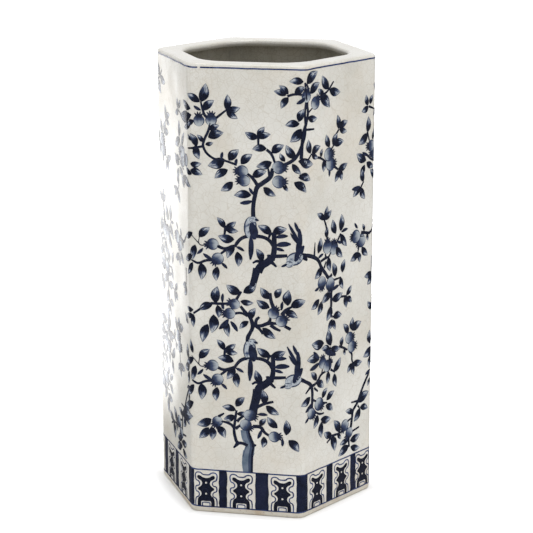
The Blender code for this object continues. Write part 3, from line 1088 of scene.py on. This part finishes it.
brush_layout.links.new(inlet.outputs["Layout"], stretched.inputs[0])
brush_layout.links.new(scales.outputs[0], stretched.inputs[1])
spot = add_node(brush_layout, "ShaderNodeTexCoord", (-2, -3))
mixed = add_node(brush_layout, "ShaderNodeVectorMath", (0, -1), operation="MULTIPLY_ADD")
brush_layout.links.new(spot.outputs["Object"], mixed.inputs[0])
mixed.inputs[1].default_value = (MARK_SPREAD, MARK_SPREAD, MARK_SPREAD)
brush_layout.links.new(stretched.outputs[0], mixed.inputs[2])
streak = add_node(brush_layout, "ShaderNodeTexNoise", (2, -1))
set_inputs(streak, Vector=mixed.outputs[0], Scale=1.0, Detail=3.0)
set_inputs(outlet, Along=sides.outputs["X"], Across=sides.outputs["Y"], Streaks=streak.outputs["Fac"])
set_inputs(outlet, From_Middle=math_node(brush_layout, "ABSOLUTE", (0, 2), centred))

# The graded_wash group gives cobalt that runs from a pale wash through a clear blue to the deepest.
graded_wash, inlet, outlet = new_group(
    "graded_wash",
    [("Darkness", FLOAT, 0.5), ("Pale", COLOUR, (0.50, 0.53, 0.56, 1.0))],
    [("Colour", COLOUR)],
)
lighter = math_node(graded_wash, "MULTIPLY", (-3, 2), inlet.outputs["Darkness"], 2.0, clamp=True)
deeper = math_node(graded_wash, "MULTIPLY_ADD", (-3, 0), inlet.outputs["Darkness"], 2.0, -1.0, clamp=True)
watered = blend_colours(graded_wash, (-1, 2), lighter, inlet.outputs["Pale"], CLEAR_BLUE)
graded_wash.links.new(blend_colours(graded_wash, (1, 1), deeper, watered, NAVY), outlet.inputs["Colour"])


def brushed_material(name, along_scale, across_scale):
    """A material for pressed marks, with its tree and shader, and the outputs of their own layout."""
    material, tree, shader = new_material(name, GLAZE_ROUGHNESS)
    own = add_node(tree, "ShaderNodeUVMap", (-14, 0), uv_map="UVMap")
    layout = add_node(tree, "ShaderNodeGroup", (-12, 0), node_tree=brush_layout)
    set_inputs(layout, Layout=own.outputs["UV"], Along_Scale=along_scale, Across_Scale=across_scale)
    return material, tree, shader, layout.outputs


def grade(tree, shader, darkness, pale):
    """Gives a mark its wash, from how dark each place of it is."""
    wash = add_node(tree, "ShaderNodeGroup", (-4, 0), node_tree=graded_wash)
    set_inputs(wash, Darkness=darkness, Pale=(*pale, 1.0))
    glaze_cobalt(tree, shader, wash)


leaf_cobalt, tree, shader, layout = brushed_material("leaf_cobalt", 3.0, 9.0)
veins = layout["Streaks"]
edge = ramp_mask(tree, (-9, 2), layout["From Middle"], 0.66, 0.86)
base_end = math_node(tree, "MULTIPLY_ADD", (-10, 0), veins, 0.60, 0.14)
past_base = math_node(tree, "SUBTRACT", (-10, 1), layout["Along"], base_end)
drawn_out = ramp_mask(tree, (-9, 0), past_base, 0.0, 0.26)
landing = math_node(tree, "SUBTRACT", (-8, 0), 1.0, drawn_out, clamp=True)
near_side = ramp_mask(tree, (-9, -1), layout["Across"], 0.60, 0.30)
dark_side = math_node(tree, "MULTIPLY", (-8, -1), near_side, 0.85)
past_side = ramp_mask(tree, (-9, -2), layout["Along"], 0.55, 0.92)
side_end = math_node(tree, "SUBTRACT", (-8, -2), 1.0, past_side, clamp=True)
side = math_node(tree, "MULTIPLY", (-7, -1), dark_side, side_end)
scratches = math_node(tree, "MULTIPLY", (-7, -3), ramp_mask(tree, (-8, -3), veins, 0.46, 0.60), 0.62)
strongest = math_node(tree, "MAXIMUM", (-6, 0), landing, side)
outlined = math_node(tree, "MAXIMUM", (-5.5, 1), math_node(tree, "MULTIPLY", (-7, 2), edge, 0.86), strongest)
grade(tree, shader, math_node(tree, "MAXIMUM", (-5.5, 0), outlined, scratches), (0.50, 0.53, 0.56))
dab_cobalt = blotchy_cobalt("dab_cobalt", 170.0, 0.42, 0.75, NAVY, (0.016, 0.023, 0.055))

LEAF_COLUMNS = 8
LEAF_WIDTH = 0.53  # of its length
DAB_WIDTH = 0.34
LEAF_LIFT = 0.10
WIDTH_SPREAD = 0.25
DAB_AT_LEAST = 3.1  # millimetres wide


def brush_mark(name, material, half_width, place, bend, lift):
    """A flat mark of unit size, a grid whose columns are narrowed, moved and bent to its outline."""
    bpy.ops.mesh.primitive_grid_add(
        x_subdivisions=LEAF_COLUMNS, y_subdivisions=3, size=1.0, location=(0.0, 0.0, lift)
    )
    mark = bpy.context.object
    mark.name = name
    bpy.ops.object.transform_apply(location=True, rotation=True, scale=True)
    columns = [round((vertex.co.x + 0.5) * LEAF_COLUMNS) for vertex in mark.data.vertices]
    bpy.context.tool_settings.mesh_select_mode = (True, False, False)
    for column in range(LEAF_COLUMNS + 1):
        share = column / LEAF_COLUMNS
        bpy.ops.object.mode_set(mode="EDIT")
        bpy.ops.mesh.select_all(action="DESELECT")
        bpy.ops.object.mode_set(mode="OBJECT")
        for vertex, own_column in zip(mark.data.vertices, columns):
            vertex.select = own_column == column
        bpy.ops.object.mode_set(mode="EDIT")
        centre = (share - 0.5, 0.0, lift)
        bpy.ops.transform.resize(value=(1.0, half_width(share), 1.0), center_override=centre)
        bpy.ops.transform.translate(value=(place(share) - share + 0.5, bend * 4 * share * (1 - share), 0.0))
        bpy.ops.object.mode_set(mode="OBJECT")
    mark.data.materials.append(material)
    thicken(mark, lift)
    return mark


def leaf_outline(share):
    return max(math.sin(math.pi * share**0.85) ** 0.85, 0.08) if share < 1 else 0.05


def dab_outline(share):
    return max(0.30, 1.0 - abs(2 * share - 1.0) ** 3)


def even(share):
    return share


leaf_bent_left = brush_mark("leaf_bent_left", leaf_cobalt, leaf_outline, even, 0.12, LEAF_LIFT)
leaf_bent_right = brush_mark("leaf_bent_right", leaf_cobalt, leaf_outline, even, 0.12, LEAF_LIFT)
leaf_bent_right.data.transform(Matrix.Scale(-1.0, 4, (0.0, 1.0, 0.0)))
merge_and_face_out(leaf_bent_right)
dab = brush_mark("dab", dab_cobalt, dab_outline, even, 0.10, LEAF_LIFT + 0.005)

marks_laid = itertools.count()


def lay_mark(mark, base, tip, width):
    """Lays a copy of a mark from its base to its tip, with a width in millimetres.

    Each mark lies a layer above the one before it, so that no two that cross are at one height.
    """
    way = Vector(tip) - Vector(base)
    turn = Matrix.Rotation(math.atan2(way.y, way.x), 4, "Z")
    size = Matrix.Diagonal((way.length, width, 1.0, 1.0))
    layer = LAYER * (next(marks_laid) % LAYERS)
    return copy_flat(mark, Matrix.Translation((base[0], base[1], layer)) @ turn @ size)


def lay_leaf(leaf):
    """Lays a leaf, whose bend and width differ a little from its neighbours'."""
    base, tip = leaf[:2], leaf[2:]
    chance = noise.noise(Vector((base[0] * 0.37, base[1] * 0.53, 1.0)))
    mark = leaf_bent_left if chance > 0 else leaf_bent_right
    return lay_mark(mark, base, tip, math.dist(base, tip) * LEAF_WIDTH * (1 + WIDTH_SPREAD * chance))


def lay_dab(leaf):
    base, tip = leaf[:2], leaf[2:]
    return lay_mark(dab, base, tip, max(math.dist(base, tip) * DAB_WIDTH, DAB_AT_LEAST))


# A leaf goes from its base to its tip.
TREE_LEAVES = (
    (20, 100, 5, 93), (17, 91, 7, 79), (20, 92, 20.5, 78), (26, 93, 34, 81), (45, 111, 31, 114),
    (44, 105, 32.5, 101), (45, 115, 54, 125), (46, 107, 55, 109.5), (69, 96, 76, 104), (73.5, 85, 72, 73),
    (87, 95, 77, 106), (96, 88, 96, 104), (98.5, 83, 109, 71), (75.5, 117.5, 89, 109), (74, 119, 72, 134),
    (72, 198, 85, 188), (59, 206, 65, 218), (58, 204, 49, 196), (36, 203, 38, 187), (23, 209, 21, 190),
    (17, 199, 11.5, 180), (22, 220, 8, 213), (27, 219, 28, 206), (2, 208, 2, 195), (25, 221, 27, 238),
    (50, 224, 63, 223), (79, 219, 66, 226), (80, 228, 70, 239), (85, 229, 91, 239), (97, 222, 98, 238),
    (100, 221, 116, 227), (94, 216, 107, 210), (50, 232, 36, 240), (53, 233, 66, 243), (61, 331, 44, 330),
    (73, 339, 85, 331), (62, 349, 76, 355), (51, 361, 62, 371), (39, 364, 49, 375), (35, 365, 18.5, 358),
    (38, 355, 25, 346), (43, 343, 31, 334), (92, 341, 97, 336), (94, 365, 89, 373), (12, 420, 17, 438),
    (11, 420, -4, 427), (14, 412, 25, 422), (37, 413, 38, 428), (37, 413, 50.5, 415.5), (37, 413, 48, 405),
    (5, 402, -4, 396), (20, 393, 30, 398), (19, 386, 34, 391), (14, 381, 8, 388), (16, 379, 24, 381),
    (8, 377, 0, 389), (6, 378, 10, 364), (0, 359, 12, 360), (0, 353, 13, 349), (68, 387, 55, 392),
    (68, 387, 74, 398), (68, 387, 80, 391), (76, 377, 62, 376), (81, 373, 93, 381), (81, 364, 66, 359),
    (104, 368, 95, 381), (101, 363, 110, 353), (107, 366, 118, 363), (107, 350, 118, 350),
    (103, 345, 116, 336), (110, 397, 99, 384), (108, 402, 94, 400), (107, 404, 113, 416),
    (95, 429, 83, 432.5), (97, 430, 88, 438), (97, 427, 90, 416), (103, 430, 114, 437), (112, 442, 98, 442),
)
TREE_DABS = (
    (71, 92, 67, 82.5), (92, 84, 92, 76), (67, 108, 77, 108), (38, 205, 28.5, 194.5), (40, 203, 47, 193),
    (32, 222, 32.5, 231), (91, 217, 92, 226), (62, 325, 50, 322.5), (64, 331, 59, 338), (46, 360, 47, 366),
    (32, 365, 33, 372), (12, 412, 5, 416), (115, 427, 105, 421), (33, 215, 32, 221),
)
PERCH_LEAVES = (
    (71, 141, 65, 154), (80, 169, 66.5, 177), (81, 170, 95, 175), (34, 173, 26, 183.5), (34, 173, 45, 180),
    (34, 173, 47, 170.5), (43, 162, 27, 165), (43, 157, 36, 143), (46, 150, 47, 135), (8, 163, 19, 173),
    (10, 137, 10, 120), (26, 134, 25, 119.5), (4, 155, 1, 140),
)
PERCH_DABS = (
    (84, 166, 96, 168), (84, 158, 99, 160), (83, 155, 92.5, 153), (45, 155, 53, 151), (21, 141, 12, 146.5),
    (30, 138, 36, 132.5), (12, 152, 6, 146),
)
SPRAY_LEAVES = (
    (136, 104, 130, 91), (141, 98, 157, 95), (142, 95, 142, 78), (149, 111, 160, 103), (150, 116, 162, 123),
    (143, 120, 151, 129), (159, 76, 146, 82), (159, 75, 164, 58), (172, 76, 162, 91), (168, 74, 174, 68),
    (186, 63, 172, 62), (189, 62, 205, 65), (187, 57, 170, 50), (190, 55, 205, 50), (194, 91, 181, 96),
    (202, 100, 219, 108), (205, 94, 218, 90), (205, 93, 195, 81), (222, 122, 217, 114),
    (124, 126, 111, 119), (134, 141, 125, 151), (134, 139, 145, 131), (152, 146, 150.5, 133),
    (161, 143, 172, 156), (162, 141, 165, 126.5), (138, 162, 119, 165), (145, 177, 126, 180),
    (155, 168, 141, 172), (156, 172, 152, 190), (156, 169, 171, 166), (173, 167, 175, 177),
    (178, 164, 179, 156), (184, 178, 176, 190), (190, 180, 191, 193.5), (190, 180, 205, 186),
    (192, 145, 183, 136.5), (192, 145, 193.5, 132), (192, 145, 207, 143), (221, 159, 219, 174),
    (224, 155, 209, 147), (223, 147, 219, 133), (224, 196, 215, 205), (137, 224, 125, 216),
    (141, 221, 135, 208), (156, 226, 141, 219), (156, 213, 149, 199), (159, 201, 173, 200.5),
    (158, 199, 151, 189), (160, 198, 163, 187), (157, 219, 174, 223), (180, 219, 188, 228),
    (180, 217, 189, 210), (177, 218, 180, 206), (222, 230, 214, 223), (135, 271, 139, 286),
    (151, 264, 154, 249), (141, 256, 130, 246), (170, 240, 174.5, 227), (173, 244, 177, 257),
    (162, 242, 158, 257), (144, 303, 133, 311), (144, 303, 148.5, 316), (144, 303, 155, 311),
    (148, 284, 149, 295), (163, 272, 173, 260), (162, 286, 157, 301), (170, 287, 171, 304),
    (170, 284, 180, 270), (198, 260, 186, 253), (198, 260, 201, 249), (204, 264, 214, 254),
    (208, 280, 205, 288), (213, 277, 214, 269), (221, 235, 209, 232), (222, 233, 214, 223),
    (201, 326, 189, 318), (201, 326, 208, 313), (205, 331, 203, 344), (224, 332, 216, 342),
    (116, 440, 132, 450), (121, 430, 135, 439), (149, 431, 139, 445), (150, 430, 167, 426),
    (142, 427, 133, 433), (136, 426, 151, 413), (118, 407, 132, 405), (122, 372, 119, 386),
    (124, 372, 137, 377), (124, 371, 134, 366), (108, 367, 126, 361), (108, 352, 122, 346),
    (108, 342, 116, 335), (138, 366, 140, 374), (142, 362, 142, 351), (151, 374, 146, 387),
    (157, 374, 163, 387), (158, 375, 173, 377), (165, 390, 163, 404), (166, 391, 179, 396),
    (166, 390, 178, 386), (165, 350, 179, 354), (165, 349, 160, 338), (166, 349, 171, 338),
    (212, 406, 201, 402), (211, 407, 208, 418), (214, 408, 219, 417), (211, 380, 212, 396),
    (211, 379, 197, 370), (219, 372, 222, 382), (209, 352, 194, 361), (210, 350, 222, 344),
    (207, 348, 202, 335), (218, 342, 224, 332),
)
SPRAY_DABS = (
    (128, 119, 117, 111.5), (122, 105, 116.5, 100.5), (213, 127, 222, 131), (138, 158, 123.5, 154),
    (138, 163, 129, 171.5), (147, 167, 164, 160.5), (135, 266, 143, 269), (157, 229, 168, 232),
    (137, 236, 130, 234), (171, 286, 181, 287.5), (165, 277, 171, 274.5), (197, 285, 192, 291),
    (200, 327, 187, 326), (151, 353, 151, 345), (212, 357, 203, 361),
)


def move_leaf(leaf):
    right_by, up_by = SECOND_PERCH
    return (leaf[0] + right_by, leaf[1] + up_by, leaf[2] + right_by, leaf[3] + up_by)


tree_leaves = [lay_leaf(leaf) for leaf in TREE_LEAVES + twice_up(PERCH_LEAVES, move_leaf)]
tree_leaves += [lay_dab(leaf) for leaf in TREE_DABS + twice_up(PERCH_DABS, move_leaf)]
paint_round(tree_leaves, "tree_leaves")
spray_leaves = [lay_leaf(leaf) for leaf in SPRAY_LEAVES]
spray_leaves += [lay_dab(leaf) for leaf in SPRAY_DABS]
paint_round(spray_leaves, "spray_leaves")

# ---- Painted corner sprig ----
# More leaves and two fruits, which reach round the corner from the front wall to the left one. They
# are laid like the others, and on this corner only.
CORNER_LEAVES = (
    (1, 413, -18, 419), (2, 407, -28, 402.5), (2, 400, -15, 392.5), (-24, 374, -16, 387), (2, 382, -4, 388),
    (2, 349, -11, 354.5), (-21, 343, 0, 336), (2, 291, -14, 284.5), (2, 269, -15, 261), (2, 261, -8, 247.5),
    (2, 212.5, -12, 213), (2, 207.5, -13, 205), (1, 168, -3, 181.5), (2, 163, -15, 155), (2, 153, -2, 140),
    (2, 135, -12, 121.5), (1, 116.5, -20, 107.5), (-32, 92, 0, 101),
)
CORNER_FRUITS = ((-11, 361, 6.5, 180), (-21, 367, 6, 180))
CORNER_WIDTH = 0.40
corner_marks = [
    lay_mark(leaf_bent_left, leaf[:2], leaf[2:], math.dist(leaf[:2], leaf[2:]) * CORNER_WIDTH)
    for leaf in CORNER_LEAVES
]

# ---- Painted fruits ----
# Round fruits with a spiked crown. The wash is pale on the side away from the crown, and the crown is
# four short dark spikes, fanned out.
fruit_cobalt, tree, shader, layout = brushed_material("fruit_cobalt", 2.0, 2.5)
edge = ramp_mask(tree, (-9, 2), layout["From Middle"], 0.74, 0.92)
far_edge = ramp_mask(tree, (-9, 3), layout["Along"], 0.10, 0.02)
outlined = math_node(tree, "MULTIPLY", (-7, 2), math_node(tree, "MAXIMUM", (-8, 2), edge, far_edge), 0.74)
set_back = math_node(tree, "ADD", (-11, 0), layout["Along"], -0.20)
towards_crown = math_node(tree, "MULTIPLY_ADD", (-10, 0), layout["Streaks"], 0.40, set_back)
shaded = ramp_mask(tree, (-8, 0), towards_crown, 0.22, 0.86)
wash_share = math_node(tree, "MULTIPLY_ADD", (-7, 0), shaded, 0.88, 0.08)
grade(tree, shader, math_node(tree, "MAXIMUM", (-5.5, 0), outlined, wash_share), (0.50, 0.54, 0.56))


def round_outline(share):
    return max(math.sin(math.pi * share), 0.15)


def round_place(share):
    return 0.5 - 0.5 * math.cos(math.pi * share)


FRUIT_LIFT = 0.1475
spike = brush_mark("spike", dab_cobalt, lambda share: 1.0 - 0.8 * share, even, 0.0, FRUIT_LIFT)
round_fruit = brush_mark("round_fruit", fruit_cobalt, round_outline, round_place, 0.0, FRUIT_LIFT)
CROWN_LENGTH = 5.6
CROWN_WIDTH = 3.4
CROWN_ROOT = 0.80  # how far out a spike starts, of the fruit's radius
CROWN_TURNS = (-42, -14, 14, 42)

# A fruit has its middle, its radius and the way its crown points, in degrees.
TREE_FRUITS = (
    (55, 96, 6.2, -35), (59, 106.5, 6.2, -15), (26, 98, 5.6, -125), (84, 85.5, 5.8, 5), (44, 221, 5.6, 165),
    (39, 211, 5.8, 185), (83, 213.5, 5.8, 60), (91, 206, 6.0, 40), (52, 354, 6.0, 180), (54, 345, 6.0, 180),
    (88, 359, 6.5, 0), (88, 345, 6.5, 0), (10, 402, 5.6, 90), (22, 403, 5.8, 90),
)
PERCH_FRUITS = ((21.5, 156.5, 6.0, 190), (26.5, 142, 6.2, -135))
SPRAY_FRUITS = (
    (126, 108, 6, -40), (138, 115, 7, -40), (180, 81, 6.5, -130), (187, 71, 6, -130), (143, 157, 6, 90),
    (151, 152, 6.5, 40), (186, 173, 6.5, 0), (190, 163, 6.5, 0), (141, 240, 6.5, -90), (154, 236, 7, -90),
    (149, 275, 7, 90), (159, 272, 7, 90), (194, 277, 7, 180), (203, 271, 7, 205), (116, 428, 6, 90),
    (129, 420, 6.5, 45), (150, 367, 7, 0), (153, 357, 7, 0), (217, 366, 6, 180), (222, 358, 6, 180),
)


def lay_fruit(fruit):
    """Lays a fruit and its crown."""
    x, y, radius, degrees = fruit
    middle = Vector((x, y))
    towards = Matrix.Rotation(math.radians(degrees), 2) @ Vector((radius, 0.0))
    marks = [lay_mark(round_fruit, middle - towards, middle + towards, 2 * radius)]
    for turn in CROWN_TURNS:
        way = Matrix.Rotation(math.radians(degrees + turn), 2) @ Vector((1.0, 0.0))
        root = middle + CROWN_ROOT * towards + way * 0.6 + (way - towards / radius) * 2.0
        tip = root + way * (CROWN_LENGTH - 1.8)
        marks.append(lay_mark(spike, root - way * 1.6, tip, CROWN_WIDTH))
    return marks


def move_fruit(fruit):
    return (fruit[0] + SECOND_PERCH[0], fruit[1] + SECOND_PERCH[1], *fruit[2:])


def lay_fruits(fruits):
    return [mark for fruit in fruits for mark in lay_fruit(fruit)]


paint_round(lay_fruits(TREE_FRUITS + twice_up(PERCH_FRUITS, move_fruit)), "tree_fruits")
paint_round(lay_fruits(SPRAY_FRUITS), "spray_fruits")
corner_marks += lay_fruits(CORNER_FRUITS)
roll_on(join_flat(corner_marks), "painted_corner_sprig")

# ---- Painted birds ----
# Two plain little birds sit at each perch, one upright with a long straight tail, and one that leans
# down and sweeps its tail up. Each is a few pale and dark presses of the brush.
breast_cobalt, tree, shader, layout = brushed_material("breast_cobalt", 7.0, 3.0)
edge = ramp_mask(tree, (-9, 2), layout["From Middle"], 0.70, 0.90)
flecks = math_node(tree, "MULTIPLY", (-8, 0), ramp_mask(tree, (-9, 0), layout["Streaks"], 0.45, 0.75), 0.55)
outlined = math_node(tree, "MULTIPLY", (-7, 2), edge, 0.80)
grade(tree, shader, math_node(tree, "MAXIMUM", (-5.5, 0), outlined, flecks), (0.46, 0.50, 0.54))
BREAST_LIFT = 0.16
breast = brush_mark("breast", breast_cobalt, round_outline, round_place, 0.0, BREAST_LIFT)
HEAD_LIFT = 0.05  # above the breast
WING_LIFT = 0.12  # above the breast, since the wing is painted over it


def lift_marks(marks, lift):
    for mark in marks:
        for vertex in mark.data.vertices:
            if vertex.co.z > 0:
                vertex.co.z += lift
    return marks

def lay_bird(body, head, dark):
    """Lays a bird: its body, its head over that, and its dark beak, wing and tail over both."""
    marks = [lay_mark(breast, *body)]
    marks += lift_marks([lay_mark(breast, *head)], HEAD_LIFT)
    return marks + lift_marks([lay_mark(dab, *press) for press in dark], WING_LIFT)


# Each press of the brush goes from its base to its tip, and has its width.
perch_birds = lay_bird(
    ((59.5, 185.5), (58.5, 164.0), 13.0),
    ((58.0, 183.0), (65.8, 182.8), 7.0),
    (
        ((59.8, 179.5), (63.4, 163.0), 8.4),
        ((63.4, 182.8), (67.4, 182.0), 2.4),
        ((59.6, 167.0), (59.0, 142.6), 5.2),
    ),
)
perch_birds += lay_bird(
    ((95.0, 142.0), (111.0, 149.0), 13.0),
    ((93.5, 139.0), (101.5, 140.5), 6.5),
    (
        ((95.5, 140.2), (89.6, 137.0), 2.4),
        ((103.0, 143.0), (112.5, 158.5), 6.6),
        ((106.0, 147.0), (109.4, 170.0), 6.0),
        ((108.9, 163.0), (107.6, 175.6), 4.2),
        ((108.4, 170.0), (102.6, 181.8), 3.4),
        ((107.6, 162.0), (96.6, 180.2), 3.2),
        ((107.0, 160.0), (98.6, 170.8), 2.8),
    ),
)
upper_birds = [copy_flat(mark, Matrix.Translation((*SECOND_PERCH, 0.0))) for mark in perch_birds]
paint_round(perch_birds + upper_birds, "tree_birds")
for mark in (leaf_bent_left, leaf_bent_right, dab, spike, round_fruit, breast):
    bpy.data.objects.remove(mark)
